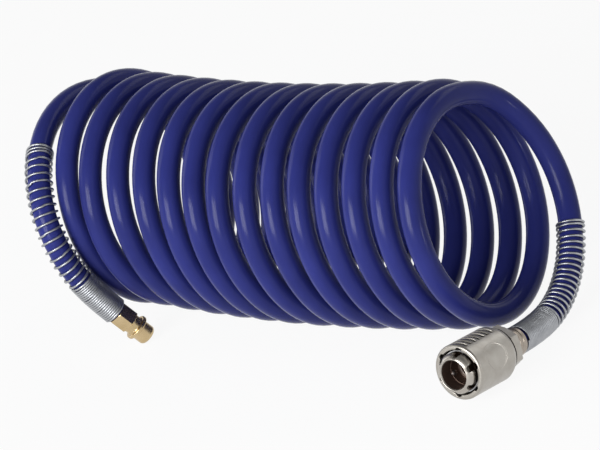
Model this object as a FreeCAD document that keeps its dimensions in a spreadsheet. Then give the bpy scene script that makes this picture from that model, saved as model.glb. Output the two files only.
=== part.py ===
import FreeCAD, Part
import math
import os
import re
import Sketcher
from FreeCAD import Placement, Rotation, Vector

# Coiled air hose: a nylon hose wound in a coil, two free ends in bend-guard springs,
# a brass quick plug on one end and a quick coupler on the other.
# Millimetres, +Z up. The hose lies on a flat surface at Z = 0 with the coil's axis along X.

DIMENSIONS = (
    # hose
    ("hose_outer", 10.0, "outside diameter of the hose"),
    ("hose_bore", 8.0, "inside diameter of the hose"),
    ("hose_sides", 8, "flats of the hose's section"),
    # coil, wound about X, its turns counted from the middle
    ("coil_radius", 46.5, "radius of the coil's centre line"),
    ("coil_pitch", 16.0, "pitch of the turns at rest"),
    ("coil_turns", 13.67, "turns from end to end"),
    ("coil_phase", 160.0, "angle of the middle of the coil, degrees"),
    ("coil_height", 53.17, "height of the coil's axis"),
    ("coil_across_x", -7.6, "middle of the coil along X"),
    ("coil_across_y", 8.3, "middle of the coil along Y"),
    ("lean_back", -0.2, "how far a turn leans along X for each mm of Y"),
    ("lean_up", -0.17, "how far a turn leans along X for each mm of Z"),
    ("bow_back", 2.5, "how far the ends lie behind the middle"),
    ("bow_up", 4.5, "how far the ends lie above the middle"),
    ("even_turns", 11.75, "turns of one radius, about the middle"),
    ("plug_end_growth", 2.0, "growth in radius over the last turn on the plug end"),
    ("socket_end_draw", 2.0, "loss in radius and in X over the last turn on the socket end"),
    ("tip_draw", 3.0, "how far both ends of the coil are drawn in"),
    ("tip_turns", 0.15, "stretch of each end that is drawn in, in turns"),
    # bend-guard springs
    ("guard_wire", 1.2, "wire diameter of a bend guard"),
    ("guard_radius", 5.8, "radius of the guard wire's centre line"),
    ("guard_bore", 10.4, "bore of a guard's closed curls, drawn as a plain tube"),
    ("guard_outer", 12.8, "outside of those curls"),
    ("plug_guard_closed", 9.8, "length of the closed curls beside the plug"),
    ("socket_guard_closed", 2.0, "length of the closed curls beside the coupler's ferrule"),
    ("guard_close_pitch", 2.0, "pitch beside the fitting"),
    ("guard_close_turns", 6, "curls beside the fitting"),
    ("guard_open_turns", 16, "curls over the free hose"),
    ("plug_guard_reach", 86.7, "from the plug's hexagon to the end of its guard"),
    ("socket_guard_reach", 81.4, "from the coupler's hexagon to the end of its guard"),
    # barbed stems
    ("stem_length", 10.0, "length of a stem inside the hose"),
    ("stem_bore", 5.0, "air bore of a stem"),
    ("stem_root", 7.0, "diameter between the barbs"),
    ("barb_pitch", 3.0, "pitch of the barbs"),
    ("barb_step", 0.3, "length of a barb's steep side"),
    # ferrule over the hose end at the coupler
    ("ferrule_bore", 10.1, "bore of the ferrule"),
    ("socket_ferrule_outer", 12.6, "outside of the coupler's ferrule"),
    ("socket_ferrule_length", 8.0, "length of the coupler's ferrule"),
    ("crimp_width", 1.4, "width of a crimped groove"),
    ("crimp_depth", 0.3, "depth of a crimped groove"),
    # plug
    ("plug_flats", 10.0, "hexagon across flats"),
    ("plug_hex_length", 7.5, "length of the hexagon"),
    ("plug_groove", 8.6, "diameter of the locking groove"),
    ("plug_groove_length", 3.4, "length of the locking groove"),
    ("plug_collar", 11.6, "diameter of the locking collar"),
    ("plug_collar_length", 1.7, "length of the locking collar"),
    ("plug_nose", 9.0, "diameter of the nose"),
    ("plug_nose_length", 6.0, "length of the nose"),
    ("nose_chamfer", 0.8, "chamfer on the nose"),
    ("edge", 0.4, "small chamfers"),
    ("hex_chamfer", 0.6, "chamfer on the corners of a hexagon"),
    # coupler, lengths from the hose end to the mouth
    ("socket_length", 35.7, "from the hose end to the mouth"),
    ("adapter_flats", 17.5, "hexagon across flats"),
    ("adapter_hex_length", 5.5, "length of the hexagon"),
    ("adapter_turn", -12.0, "angle that the adapter is screwed in to, degrees"),
    ("thread_size", 13.2, "diameter of the thread between adapter and body"),
    ("thread_length", 4.5, "length of the adapter's thread"),
    ("spring_pocket", 9.8, "bore of the valve spring's pocket"),
    ("spring_pocket_depth", 5.0, "depth of the valve spring's pocket"),
    ("body_outer", 17.0, "outside of the body under the sleeve"),
    ("flange_outer", 20.6, "outside of the flange that guides the sleeve"),
    ("flange_length", 3.0, "length of that flange"),
    ("mouth_bore", 12.2, "bore that leads into the mouth"),
    ("mouth_chamfer", 0.6, "chamfer of the mouth"),
    ("mouth_lead", 6.7, "depth of the wider bore that leads into the mouth"),
    ("collar_bore", 11.8, "bore behind it, where the balls lock the plug's collar"),
    ("mouth_depth", 11.5, "depth of the shoulder that stops the collar"),
    ("nose_bore", 9.3, "bore that takes the plug's nose"),
    ("seal_depth", 14.7, "depth of the plug seal"),
    ("seal_groove_width", 2.2, "width of the plug seal's groove"),
    ("seal_groove", 12.8, "diameter of the plug seal's groove"),
    ("seal_section", 1.9, "section of the plug seal"),
    ("seat_depth", 18.5, "depth of the valve seat's edge"),
    ("chamber", 13.0, "bore of the valve chamber"),
    ("chamber_end", 10.3, "from the hose end to the end of the chamber"),
    ("adapter_seal_chamfer", 2.0, "chamfer that holds the adapter's seal"),
    ("adapter_seal_section", 1.0, "section of the adapter's seal"),
    ("rim_notches", 6, "notches around the body's front edge"),
    ("rim_notch_size", 2.6, "diameter of a notch"),
    ("rim_notch_depth", 1.0, "depth of a notch in the body's edge"),
    ("rim_outer", 15.5, "outside of the rim in front of the notches"),
    ("rim_length", 2.5, "length of that rim"),
    # sleeve
    ("sleeve_outer", 23.5, "outside of the sleeve"),
    ("sleeve_start", 6.9, "from the hose end to the sleeve"),
    ("sleeve_setback", 3.7, "how far the nose stands out of the sleeve"),
    ("sleeve_mouth", 19.2, "opening of the sleeve at its front"),
    ("sleeve_land", 17.3, "bore that holds the balls in"),
    ("land_front", 27.25, "from the hose end to the front of that bore"),
    ("land_rear", 20.7, "from the hose end to its rear, where the spring presses"),
    ("sleeve_bore", 20.8, "bore around the spring"),
    ("front_edge", 0.8, "chamfer on the sleeve's front"),
    ("rear_edge", 0.85, "chamfer on the sleeve's rear, across"),
    ("rear_edge_length", 2.2, "chamfer on the sleeve's rear, along"),
    ("grip_count", 7, "grip grooves in a row"),
    ("grip_width", 1.4, "width of a grip groove"),
    ("grip_pitch", 2.9, "pitch of the grip grooves"),
    ("grip_depth", 0.7, "depth of a grip groove"),
    ("grip_first", 28.8, "from the hose end to the first grip groove"),
    ("grip_sector", 66.0, "angle of a row of grip grooves, degrees"),
    ("scallops", 12, "scallops around the sleeve's opening"),
    ("scallop_size", 2.4, "diameter of a scallop"),
    ("scallop_depth", 1.7, "depth of a scallop"),
    # locking and valve pieces
    ("ball_size", 3.5, "diameter of a locking ball"),
    ("ball_circle", 13.7, "circle of the ball centres while locked"),
    ("ball_depth", 8.2, "depth of the ball plane"),
    ("ball_count", 4, "locking balls"),
    ("ball_hole", 3.7, "hole that a ball moves in"),
    ("ball_lip", 3.36, "narrow inner end of that hole"),
    ("ball_lip_radius", 6.25, "radius where the narrow end stops"),
    ("ring_depth", 6.1, "depth of the stop ring's groove, to its rear side"),
    ("ring_thickness", 0.9, "thickness of the stop ring"),
    ("ring_slack", 0.05, "clearance of the stop ring in its groove"),
    ("ring_inner", 15.9, "bore of the stop ring"),
    ("ring_outer", 18.1, "outside of the stop ring"),
    ("ring_angle", 330.0, "angle that the open stop ring covers, degrees"),
    ("washer_inner", 17.2, "bore of the spring washer"),
    ("washer_outer", 20.4, "outside of the spring washer"),
    ("washer_thickness", 0.8, "thickness of the spring washer"),
    ("sleeve_spring_wire", 1.1, "wire of the sleeve spring"),
    ("sleeve_spring_radius", 9.45, "radius of the sleeve spring's centre line"),
    ("sleeve_spring_turns", 5, "curls of the sleeve spring"),
    ("valve_spring_wire", 0.7, "wire of the valve spring"),
    ("valve_spring_radius", 4.0, "radius of the valve spring's centre line"),
    ("valve_spring_turns", 4, "curls of the valve spring"),
    ("poppet_front", 21.4, "from the hose end to the poppet's face"),
    ("poppet_nose", 7.2, "diameter of the poppet's face"),
    ("poppet_lip", 8.6, "lip that holds the valve seal"),
    ("poppet_lip_front", 17.2, "from the hose end to the front of the lip"),
    ("poppet_lip_rear", 16.75, "from the hose end to its rear"),
    ("poppet_neck", 7.8, "diameter inside the valve seal"),
    ("poppet_head", 12.0, "diameter of the poppet's head"),
    ("poppet_head_front", 15.05, "from the hose end to the head's front"),
    ("poppet_head_rear", 13.6, "from the hose end to the head's rear"),
    ("poppet_stem", 3.6, "diameter of the poppet's stem"),
    ("poppet_end", 7.7, "from the hose end to the stem's end"),
    ("valve_seal_section", 1.6, "section of the valve seal"),
    ("valve_seal_radius", 4.75, "radius of the valve seal's centre line"),
    ("valve_seal_place", 15.9, "from the hose end to the valve seal"),
)

# Routes of the free ends, after their straight start out of the coil, to the hose's cut end.
# Like the coil's own turns they are measured from the middle of the coil's axis, heights from the floor.
PLUG_ROUTE = (
    (-125.5, 51.5, 71.5), (-129.5, 37.0, 93.0), (-128.5, 7.0, 103.5), (-122.5, -19.5, 94.5),
    (-106.2, -47.0, 86.4), (-97.2, -58.8, 62.3), (-92.2, -55.4, 34.7), (-86.5, -47.1, 18.0),
)
SOCKET_ROUTE = (
    (101.0, 51.5, 69.5), (111.0, 52.0, 44.0), (121.0, 33.0, 23.0), (126.5, 11.5, 10.2),
    (131.5, -14.5, 6.2), (134.1, -37.0, 10.3),
)

doc = FreeCAD.newDocument("coiled_air_hose")
sheet = doc.addObject("Spreadsheet::Sheet", "dims")
for row, (alias, value, meaning) in enumerate(DIMENSIONS, start=1):
    sheet.set("A%d" % row, alias)
    sheet.set("B%d" % row, str(value))
    sheet.set("C%d" % row, meaning)
    sheet.setAlias("B%d" % row, alias)
doc.recompute()


def size(alias):
    """A driving dimension, read from the sheet."""
    return float(sheet.get(alias))


ALIASES = {alias for alias, value, meaning in DIMENSIONS}


def bound(text):
    """An expression in the sheet's words, such as "plug_nose / 2", as the document writes it."""
    def named(word):
        return "dims." + word.group() if word.group() in ALIASES else word.group()
    return re.sub(r"[a-z_]+", named, text)


# Sketches whose every corner is bound to the sheet

def origin_plane(body, role):
    return next(part for part in body.Origin.OriginFeatures if part.Role == role)


def new_sketch(body, name, plane="XZ_Plane", height=None):
    sketch = body.newObject("Sketcher::SketchObject", name)
    sketch.AttachmentSupport = [(origin_plane(body, plane), "")]
    sketch.MapMode = "FlatFace"
    if height:
        sketch.setExpression("AttachmentOffset.Base.z", bound(height))
    return sketch


def pin(sketch, line, end, axis, text):
    """Bind one coordinate of a line's end. A leading minus is measured the other way round."""
    if text == "0":
        other_axis = -2 if axis == "X" else -1
        sketch.addConstraint(Sketcher.Constraint("PointOnObject", line, end, other_axis))
        return
    if text.startswith("-"):
        index = sketch.addConstraint(Sketcher.Constraint("Distance" + axis, line, end, -1, 1, 1.0))
        text = text[1:]
    else:
        index = sketch.addConstraint(Sketcher.Constraint("Distance" + axis, -1, 1, line, end, 1.0))
    sketch.setExpression("Constraints[%d]" % index, bound(text))


def outline(sketch, corners):
    """A closed outline of straight lines through corners given as pairs of expressions."""
    first = sketch.GeometryCount
    count = len(corners)
    for i in range(count):
        start = Vector(i + 1, i % 2, 0)
        end = Vector((i + 1) % count + 1, (i + 1) % count % 2, 0)
        sketch.addGeometry(Part.LineSegment(start, end), False)
    for i, (across, along) in enumerate(corners):
        previous = first + (i - 1) % count
        sketch.addConstraint(Sketcher.Constraint("Coincident", previous, 2, first + i, 1))
        pin(sketch, first + i, 1, "X", across)
        pin(sketch, first + i, 1, "Y", along)


def new_body(label):
    return doc.addObject("PartDesign::Body", label)


def turn_profile(body, name, corners, kind="Revolution", plane="XZ_Plane"):
    """Turn an outline of (radius, height) corners about the body's Z axis."""
    sketch = new_sketch(body, name + "_outline", plane)
    outline(sketch, corners)
    feature = body.newObject("PartDesign::" + kind, name)
    feature.Profile = sketch
    feature.ReferenceAxis = (sketch, ["V_Axis"])
    feature.Angle = 360
    sketch.Visibility = False
    return feature


def hexagon(body, name, flats, bottom, length):
    """A hexagonal length with a flat towards X and its corners chamfered at both ends."""
    sketch = new_sketch(body, name + "_outline", "XY_Plane", bottom)
    half, corner, low = flats + " / 2", flats + " / sqrt(3)", flats + " / sqrt(12)"
    outline(sketch, [(half, low), ("0", corner), ("-" + half, low),
                     ("-" + half, "-" + low), ("0", "-" + corner), (half, "-" + low)])
    pad = body.newObject("PartDesign::Pad", name)
    pad.Profile = sketch
    pad.setExpression("Length", bound(length))
    foot = bottom or "0"
    top = bottom + " + " + length if bottom else length
    reach = flats + " / 2 + 2 * hex_chamfer"
    turn_profile(body, name + "_front_chamfer", [
        (half, top), (reach, top), (reach, top + " - 2 * hex_chamfer / sqrt(3)")], "Groove")
    turn_profile(body, name + "_rear_chamfer", [
        (half, foot), (reach, foot), (reach, (foot + " + " if bottom else "") + "2 * hex_chamfer / sqrt(3)")],
        "Groove")
    return pad


def circle_pocket(body, name, plane, height, centre, diameter, depth, reverse=False):
    """A round pocket whose centre and size are bound to the sheet."""
    sketch = new_sketch(body, name + "_outline", plane, height)
    sketch.addGeometry(Part.Circle(Vector(1, 1, 0), Vector(0, 0, 1), 1.0), False)
    pin(sketch, 0, 3, "X", centre[0])
    pin(sketch, 0, 3, "Y", centre[1])
    index = sketch.addConstraint(Sketcher.Constraint("Diameter", 0, 2.0))
    sketch.setExpression("Constraints[%d]" % index, bound(diameter))
    pocket = body.newObject("PartDesign::Pocket", name)
    pocket.Profile = sketch
    pocket.setExpression("Length", bound(depth))
    pocket.Reversed = reverse
    return pocket


def around(body, name, features, count):
    """Repeat features around the body's Z axis."""
    pattern = body.newObject("PartDesign::PolarPattern", name)
    pattern.Originals = features
    pattern.Axis = (origin_plane(body, "Z_Axis"), [""])
    pattern.Angle = 360
    pattern.setExpression("Occurrences", bound(count))
    body.Tip = pattern
    return pattern


def barbs():
    """Corners of a barbed stem, from its end in the hose to the hexagon's rear face."""
    corners = [("stem_bore / 2", "-stem_length"), ("stem_root / 2", "-stem_length")]
    for i in range(3):
        crest = "-(stem_length - %d * barb_pitch + barb_step)" % (i + 1)
        foot = "-(stem_length - %d * barb_pitch)" % (i + 1)
        corners += [("hose_bore / 2", crest), ("stem_root / 2", foot)]
    return corners + [("stem_root / 2", "0")]


# Pieces of the plug. Their Z axis runs from the hose's cut end to the tip.

def plug_body():
    body = new_body("plug_body")
    hexagon(body, "plug_hexagon", "plug_flats", None, "plug_hex_length")
    collar = "plug_hex_length + plug_groove_length"
    nose = collar + " + plug_collar_length"
    tip = nose + " + plug_nose_length"
    turn_profile(body, "plug_turned", barbs() + [
        ("plug_groove / 2", "0"), ("plug_groove / 2", collar),
        ("plug_collar / 2 - edge", collar), ("plug_collar / 2", collar + " + edge"),
        ("plug_collar / 2", nose + " - edge"), ("plug_collar / 2 - edge", nose),
        ("plug_nose / 2", nose), ("plug_nose / 2", tip + " - nose_chamfer"),
        ("plug_nose / 2 - nose_chamfer", tip), ("stem_bore / 2", tip)])
    turn_profile(body, "plug_air_way", [
        ("0", "-stem_length"), ("stem_bore / 2", "-stem_length"), ("stem_bore / 2", tip), ("0", tip)], "Groove")
    return body


# Pieces of the coupler. Their Z axis runs from the hose's cut end to the mouth.

def socket_rear_adapter():
    body = new_body("socket_rear_adapter")
    hexagon(body, "adapter_hexagon", "adapter_flats", None, "adapter_hex_length")
    front = "adapter_hex_length + thread_length"
    turn_profile(body, "adapter_turned", barbs() + [
        ("thread_size / 2", "0"), ("thread_size / 2", front), ("stem_bore / 2", front)])
    turn_profile(body, "adapter_air_way", [
        ("0", "-stem_length"), ("stem_bore / 2", "-stem_length"),
        ("stem_bore / 2", front + " - spring_pocket_depth"),
        ("spring_pocket / 2", front + " - spring_pocket_depth"),
        ("spring_pocket / 2", front), ("0", front)], "Groove")
    return body


def socket_ferrule():
    body = new_body("socket_ferrule")
    corners = [("ferrule_bore / 2", "-socket_ferrule_length"),
               ("socket_ferrule_outer / 2 - edge", "-socket_ferrule_length"),
               ("socket_ferrule_outer / 2", "-(socket_ferrule_length - edge)")]
    for part in (1, 2):
        middle = "socket_ferrule_length - %d * socket_ferrule_length / 3" % part
        near, far = "-(%s - crimp_width / 2)" % middle, "-(%s + crimp_width / 2)" % middle
        corners += [("socket_ferrule_outer / 2", far), ("socket_ferrule_outer / 2 - crimp_depth", "-(%s)" % middle),
                    ("socket_ferrule_outer / 2", near)]
    turn_profile(body, "socket_ferrule_turned",
                 corners + [("socket_ferrule_outer / 2", "0"), ("ferrule_bore / 2", "0")])
    return body


def socket_body():
    body = new_body("socket_body")
    rear, mouth = "adapter_hex_length", "socket_length"
    step = mouth + " - rim_length"
    ring = mouth + " - ring_depth"
    seal_front = mouth + " - seal_depth + seal_groove_width / 2"
    seal_rear = mouth + " - seal_depth - seal_groove_width / 2"
    seat = mouth + " - seat_depth"
    turn_profile(body, "body_turned", [
        ("thread_size / 2 + adapter_seal_chamfer", rear),
        ("flange_outer / 2", rear), ("flange_outer / 2", rear + " + flange_length"),
        ("body_outer / 2", rear + " + flange_length"), ("body_outer / 2", ring),
        ("ring_inner / 2 - ring_slack", ring),
        ("ring_inner / 2 - ring_slack", ring + " + ring_thickness + 2 * ring_slack"),
        ("body_outer / 2", ring + " + ring_thickness + 2 * ring_slack"),
        ("body_outer / 2", step + " - edge"), ("body_outer / 2 - edge", step),
        ("rim_outer / 2", step), ("rim_outer / 2", mouth + " - edge"), ("rim_outer / 2 - edge", mouth),
        ("mouth_bore / 2 + mouth_chamfer", mouth), ("mouth_bore / 2", mouth + " - mouth_chamfer"),
        ("mouth_bore / 2", mouth + " - mouth_lead"), ("collar_bore / 2", mouth + " - mouth_lead"),
        ("collar_bore / 2", mouth + " - mouth_depth"), ("nose_bore / 2", mouth + " - mouth_depth"),
        ("nose_bore / 2", seal_front), ("seal_groove / 2", seal_front),
        ("seal_groove / 2", seal_rear), ("nose_bore / 2", seal_rear),
        ("nose_bore / 2", seat), ("chamber / 2", seat + " - (chamber - nose_bore) / 2"),
        ("chamber / 2", "chamber_end"), ("thread_size / 2", "chamber_end"),
        ("thread_size / 2", rear + " + adapter_seal_chamfer")])
    doc.recompute()
    plane = "socket_length - ball_depth"
    lip = circle_pocket(body, "ball_lip_hole", "YZ_Plane", None, ("0", plane), "ball_lip", "body_outer", True)
    hole = circle_pocket(body, "ball_way", "YZ_Plane", "ball_lip_radius", ("0", plane), "ball_hole",
                         "body_outer", True)
    around(body, "ball_holes", [lip, hole], "ball_count")
    doc.recompute()
    notch = circle_pocket(body, "rim_notch", "XY_Plane", step,
                          ("(body_outer + rim_notch_size) / 2 - rim_notch_depth", "0"), "rim_notch_size",
                          "ring_depth - rim_length - ring_thickness - 4 * ring_slack")
    around(body, "rim_notch_ring", [notch], "rim_notches")
    return body


def socket_sleeve():
    body = new_body("socket_sleeve")
    front = "socket_length - sleeve_setback"
    turn_profile(body, "sleeve_turned", [
        ("sleeve_bore / 2", "sleeve_start"), ("sleeve_outer / 2 - rear_edge", "sleeve_start"),
        ("sleeve_outer / 2", "sleeve_start + rear_edge_length"), ("sleeve_outer / 2", front + " - front_edge"),
        ("sleeve_outer / 2 - front_edge", front), ("sleeve_mouth / 2", front),
        ("sleeve_land / 2", "land_front"), ("sleeve_land / 2", "land_rear"), ("sleeve_bore / 2", "land_rear")])
    doc.recompute()
    grips = new_sketch(body, "grip_outlines", "YZ_Plane")
    for i in range(int(size("grip_count"))):
        low = "grip_first - %d * grip_pitch" % i
        high = low + " + grip_width"
        floor, air = "sleeve_outer / 2 - grip_depth", "sleeve_outer / 2 + edge"
        outline(grips, [(floor, low), (air, low), (air, high), (floor, high)])
    groove = body.newObject("PartDesign::Groove", "grip_grooves")
    groove.Profile = grips
    groove.ReferenceAxis = (grips, ["V_Axis"])
    groove.setExpression("Angle", bound("grip_sector"))
    groove.Midplane = True
    around(body, "both_grips", [groove], "2")
    doc.recompute()
    scallop = circle_pocket(body, "scallop", "XY_Plane", front, ("sleeve_mouth / 2", "0"), "scallop_size",
                            "scallop_depth")
    around(body, "scallop_ring", [scallop], "scallops")
    return body


def sleeve_stop_ring():
    body = new_body("sleeve_stop_ring")
    low = "socket_length - ring_depth + ring_slack"
    ring = turn_profile(body, "stop_ring_turned", [
        ("ring_inner / 2", low), ("ring_outer / 2", low),
        ("ring_outer / 2", low + " + ring_thickness"), ("ring_inner / 2", low + " + ring_thickness")])
    ring.setExpression("Angle", bound("ring_angle"))
    return body


def spring_washer():
    body = new_body("spring_washer")
    low = "adapter_hex_length + flange_length"
    turn_profile(body, "washer_turned", [
        ("washer_inner / 2", low), ("washer_outer / 2", low),
        ("washer_outer / 2", low + " + washer_thickness"), ("washer_inner / 2", low + " + washer_thickness")])
    return body


def valve_poppet():
    body = new_body("valve_poppet")
    turn_profile(body, "poppet_turned", [
        ("0", "poppet_end"), ("poppet_stem / 2 - edge", "poppet_end"), ("poppet_stem / 2", "poppet_end + edge"),
        ("poppet_stem / 2", "poppet_head_rear"), ("poppet_head / 2", "poppet_head_rear"),
        ("poppet_head / 2", "poppet_head_front"), ("poppet_neck / 2", "poppet_head_front"),
        ("poppet_neck / 2", "poppet_lip_rear"), ("poppet_lip / 2", "poppet_lip_rear"),
        ("poppet_lip / 2", "poppet_lip_front"), ("poppet_nose / 2", "poppet_lip_front"),
        ("poppet_nose / 2", "poppet_front - edge"), ("poppet_nose / 2 - edge", "poppet_front"),
        ("0", "poppet_front")])
    return body


def ring_seal(label, radius, section, height):
    """A rubber ring about the Z axis of a fitting, its round section drawn with eight flats."""
    body = new_body(label)
    half, quarter = section + " / 2", section + " / (2 + 2 * sqrt(2))"
    signs = [("+", half, "-", quarter), ("+", half, "+", quarter), ("+", quarter, "+", half),
             ("-", quarter, "+", half), ("-", half, "+", quarter), ("-", half, "-", quarter),
             ("-", quarter, "-", half), ("+", quarter, "-", half)]
    turn_profile(body, label + "_turned", [
        ("%s %s %s" % (radius, across, a), "%s %s %s" % (height, along, b)) for across, a, along, b in signs])
    return body


def lock_ball(index, place):
    """One ball of the ring that locks behind the plug's collar."""
    ball = doc.addObject("Part::Sphere", "lock_ball_%d" % (index + 1))
    ball.setExpression("Radius", bound("ball_size / 2"))
    angle = 2 * math.pi * index / size("ball_count")
    radius = size("ball_circle") / 2
    centre = Vector(radius * math.cos(angle), radius * math.sin(angle), size("socket_length") - size("ball_depth"))
    ball.Placement = place.multiply(Placement(centre, Rotation()))
    return ball


# Paths of arcs for what is wound

def arc_through(start, apex, end):
    """Arc from start to end whose end tangents meet in apex."""
    middle = (start + end) * 0.5
    out = apex - middle
    half_chord = start.distanceToPoint(end) / 2
    half_turn = math.atan2(out.Length, half_chord)
    top = middle + out.normalize() * (half_chord * math.tan(half_turn / 2))
    return Part.Arc(start, top, end).toShape()


def biarc(start, start_tangent, end, end_tangent):
    """Two arcs that leave start and reach end along the given tangents."""
    chord = end - start
    both = start_tangent + end_tangent
    spread = 2 * (1 - start_tangent.dot(end_tangent))
    along = chord.dot(both)
    if spread < 1e-9:
        reach = chord.dot(chord) / (2 * along)
    else:
        reach = (math.sqrt(along * along + spread * chord.dot(chord)) - along) / spread
    first_apex = start + start_tangent * reach
    second_apex = end - end_tangent * reach
    joint = (first_apex + second_apex) * 0.5
    return [arc_through(start, first_apex, joint), arc_through(joint, second_apex, end)]


def tangent_of(curve, place, step=1e-4):
    return (curve(place + step) - curve(place - step)).normalize()


def wound_path(curve, first, last, count, straight):
    """Biarcs along a curve, in count equal parts, with a straight length at each end."""
    places = [first + (last - first) * i / count for i in range(count + 1)]
    points = [curve(place) for place in places]
    tangents = [tangent_of(curve, place) for place in places]
    edges = [Part.LineSegment(points[0] - tangents[0] * straight, points[0]).toShape()]
    for i in range(count):
        edges += biarc(points[i], tangents[i], points[i + 1], tangents[i + 1])
    edges.append(Part.LineSegment(points[-1], points[-1] + tangents[-1] * straight).toShape())
    return Part.Wire(edges)


def run_path(label, points):
    """Straight runs joined by tangent arcs that take 0.45 of the shorter run."""
    edges, radii = [], []
    at = points[0]
    for before, corner, after in zip(points, points[1:], points[2:]):
        incoming, outgoing = corner - before, after - corner
        cut = 0.45 * min(incoming.Length, outgoing.Length)
        radii.append(cut / math.tan(incoming.getAngle(outgoing) / 2))
        start = corner - incoming.normalize() * cut
        end = corner + outgoing.normalize() * cut
        edges += [Part.LineSegment(at, start).toShape(), arc_through(start, corner, end)]
        at = end
    edges.append(Part.LineSegment(at, points[-1]).toShape())
    print(label, "radii", ["%.1f" % radius for radius in radii])
    return Part.Wire(edges)


def regular_section(path, radius, sides):
    """A regular outline round the start of a path, square to it."""
    edge = path.Edges[0]
    start, tangent = edge.valueAt(edge.FirstParameter), edge.tangentAt(edge.FirstParameter)
    corners = [Vector(radius * math.cos(2 * math.pi * i / sides), radius * math.sin(2 * math.pi * i / sides), 0)
               for i in range(sides)]
    section = Part.makePolygon(corners + corners[:1])
    section.Placement = Placement(start, Rotation(Vector(0, 0, 1), tangent))
    area = sides / 2 * radius * radius * math.sin(2 * math.pi / sides)
    return section, area


def swept(label, path, radius, sides):
    """An unbroken tube along a path. Its volume is compared with its section times its length."""
    section, area = regular_section(path, radius, sides)
    shell = Part.BRepOffsetAPI.MakePipeShell(path)
    shell.add(section)
    shell.build()
    shell.makeSolid()
    solid = shell.shape()
    print("%s length %.1f volume / (section x length) %.4f" % (label, path.Length, solid.Volume / area / path.Length))
    return solid


def least_gap(points, spacing, tube, turn_length):
    """Least gap between stretches of one tube that lie at least half a turn apart."""
    apart = int(turn_length / 2 / spacing)
    closest = min(a.distanceToPoint(b) for i, a in enumerate(points) for b in points[i + apart:i + 3 * apart])
    return closest - tube


def feature(label, shape):
    """A document object for a shape made by formula, already in its place."""
    made = doc.addObject("Part::Feature", label)
    made.Shape = shape
    made.Placement = Placement()
    return made


# The hose

def coil_point(turn):
    """Centre line of the coil. Turns are counted from the middle, to the plug's side below zero."""
    even = size("even_turns") / 2
    growing = min(max(-turn - even, 0), 1)
    drawing = min(max(turn - even, 0), 1)
    tip = max(0, 1 - (size("coil_turns") / 2 - abs(turn)) / size("tip_turns"))
    radius = (size("coil_radius") + size("plug_end_growth") * growing ** 2
              - size("socket_end_draw") * drawing ** 2 - size("tip_draw") * tip ** 2)
    angle = 2 * math.pi * turn + math.radians(size("coil_phase"))
    y, z = -radius * math.cos(angle), radius * math.sin(angle)
    x = (size("coil_pitch") * turn + size("lean_back") * y + size("lean_up") * z
         - size("socket_end_draw") * drawing ** 2)
    bow = (2 * turn / size("coil_turns")) ** 2 - 0.35
    return Vector(size("coil_across_x") + x, size("coil_across_y") + y + size("bow_back") * bow,
                  size("coil_height") + z + size("bow_up") * bow)


def coil_gap(half):
    """Least gap between the turns, measured on points of the centre line."""
    steps = 40
    count = int(2 * half * steps)
    points = [coil_point(-half + i / steps) for i in range(count + 1)]
    turn_length = 2 * math.pi * size("coil_radius")
    return least_gap(points, turn_length / steps, size("hose_outer"), turn_length)


def hose_coil():
    half = size("coil_turns") / 2
    path = wound_path(coil_point, -half, half, math.ceil(4 * size("coil_turns")), size("hose_outer"))
    print("hose_coil least gap %.2f" % coil_gap(half))
    return feature("hose_coil", swept("hose_coil", path, size("hose_outer") / 2, int(size("hose_sides"))))


def tail_path(label, side, route, first_run):
    """Centre line of a free end: on out of the coil's straight end, then along its route."""
    turn = side * size("coil_turns") / 2
    tangent = tangent_of(coil_point, turn) * side
    start = coil_point(turn) + tangent * size("hose_outer")
    middle = Vector(size("coil_across_x"), size("coil_across_y"), 0)
    points = [start, start + tangent * first_run] + [middle + Vector(*point) for point in route]
    return run_path(label, points)


def hose_tail(label, path, place):
    """A free end of the hose, bored for the barbed stem."""
    solid = swept(label, path, size("hose_outer") / 2, int(size("hose_sides")))
    depth = size("stem_length")
    bore = Part.makeCylinder(size("hose_bore") / 2, 2 * depth, Vector(0, 0, -depth))
    bore.Placement = place
    return feature(label, solid.cut(bore))


# Springs

class Rail:
    """A path as a list of points with a normal that doesn't twist, found by the distance from its end."""

    def __init__(self, path, spacing=0.5):
        points = []
        for edge in path.Edges:
            parts = max(1, math.ceil(edge.Length / spacing))
            first, span = edge.FirstParameter, edge.LastParameter - edge.FirstParameter
            points += [(edge.valueAt(first + span * i / parts), edge.tangentAt(first + span * i / parts))
                       for i in range(parts)]
        points.append((edge.valueAt(edge.LastParameter), edge.tangentAt(edge.LastParameter)))
        points.reverse()
        self.frames, self.places = [], [0.0]
        normal = Vector(0, 0, 1)
        for point, tangent in points:
            normal = normal - tangent * normal.dot(tangent)
            normal.normalize()
            self.frames.append((point, normal, tangent.cross(normal)))
        for (before, _, _), (after, _, _) in zip(self.frames, self.frames[1:]):
            self.places.append(self.places[-1] + before.distanceToPoint(after))

    def around(self, distance, radius, angle):
        """A point beside the path, at a distance from its end, a radius off it and an angle round it."""
        i = 0
        while i < len(self.places) - 2 and self.places[i + 1] < distance:
            i += 1
        share = (distance - self.places[i]) / (self.places[i + 1] - self.places[i])
        point, normal, side = (a + (b - a) * share for a, b in zip(self.frames[i], self.frames[i + 1]))
        return point + normal * (radius * math.cos(angle)) + side * (radius * math.sin(angle))


def square_wire(label, curve, turns, wire, gap):
    """A spring's wire on biarcs of half a turn, its section a square as large as the round wire."""
    path = wound_path(curve, 0.0, turns, int(2 * turns), wire)
    print("%s least gap %.2f" % (label, gap))
    return swept(label, path, wire / 2 * math.sqrt(math.pi / 2), 4)


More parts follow.
